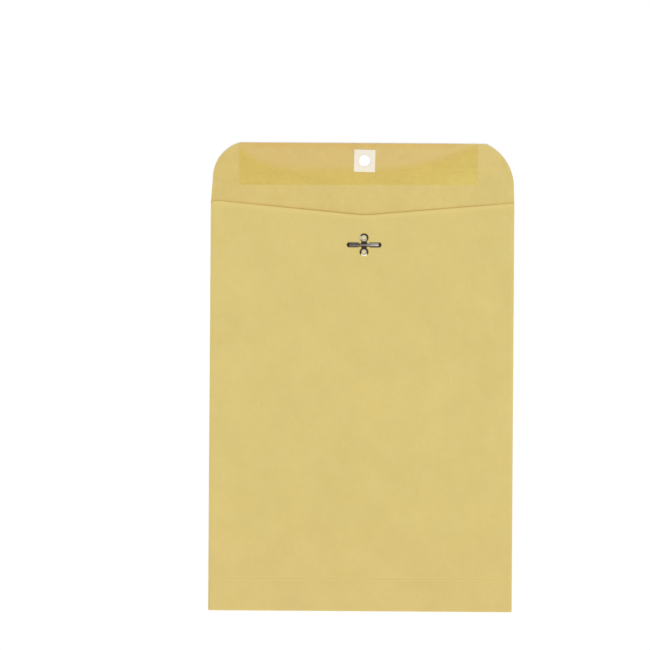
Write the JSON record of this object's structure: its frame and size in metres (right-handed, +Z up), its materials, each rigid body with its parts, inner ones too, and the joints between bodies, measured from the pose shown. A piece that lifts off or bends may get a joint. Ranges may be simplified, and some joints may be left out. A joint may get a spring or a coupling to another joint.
{
  "type": "clasp envelope",
  "caption": "Flat kraft paper envelope with its gummed seal flap open, a patched hole in the flap and a metal clasp with bendable prongs on its back.",
  "frame": {"origin": "on the underside, in the middle of the outline of the pocket and the opened seal flap", "axes": "+Z up from the front, on which it lies, to the back; +Y along the pocket to the seal flap; +X to the right with the flap away from the viewer"},
  "size_m": [0.2274, 0.3506, 0.0016],
  "materials": {
    "kraft_paper": "matte",
    "white_paper": "matte",
    "dried_gum": "satin",
    "tinplate": "satin"
  },
  "bodies": {
    "pocket": {"envelope": "kraft_paper", "flap_patch": "white_paper", "seal_gum": "dried_gum", "clasp_base": "tinplate"},
    "left_prong": {"left_prong": "tinplate"},
    "right_prong": {"right_prong": "tinplate"}
  },
  "joints": [
    {"name": "left_prong_bend", "type": "hinge", "parent": "pocket", "child": "left_prong", "pos_m": [-0.0014, 0.09915, 0.00103], "axis": [0, 1, 0], "range_deg": [0, 90]},
    {"name": "right_prong_bend", "type": "hinge", "parent": "pocket", "child": "right_prong", "pos_m": [0.004, 0.09915, 0.00103], "axis": [0, -1, 0], "range_deg": [0, 90]}
  ]
}
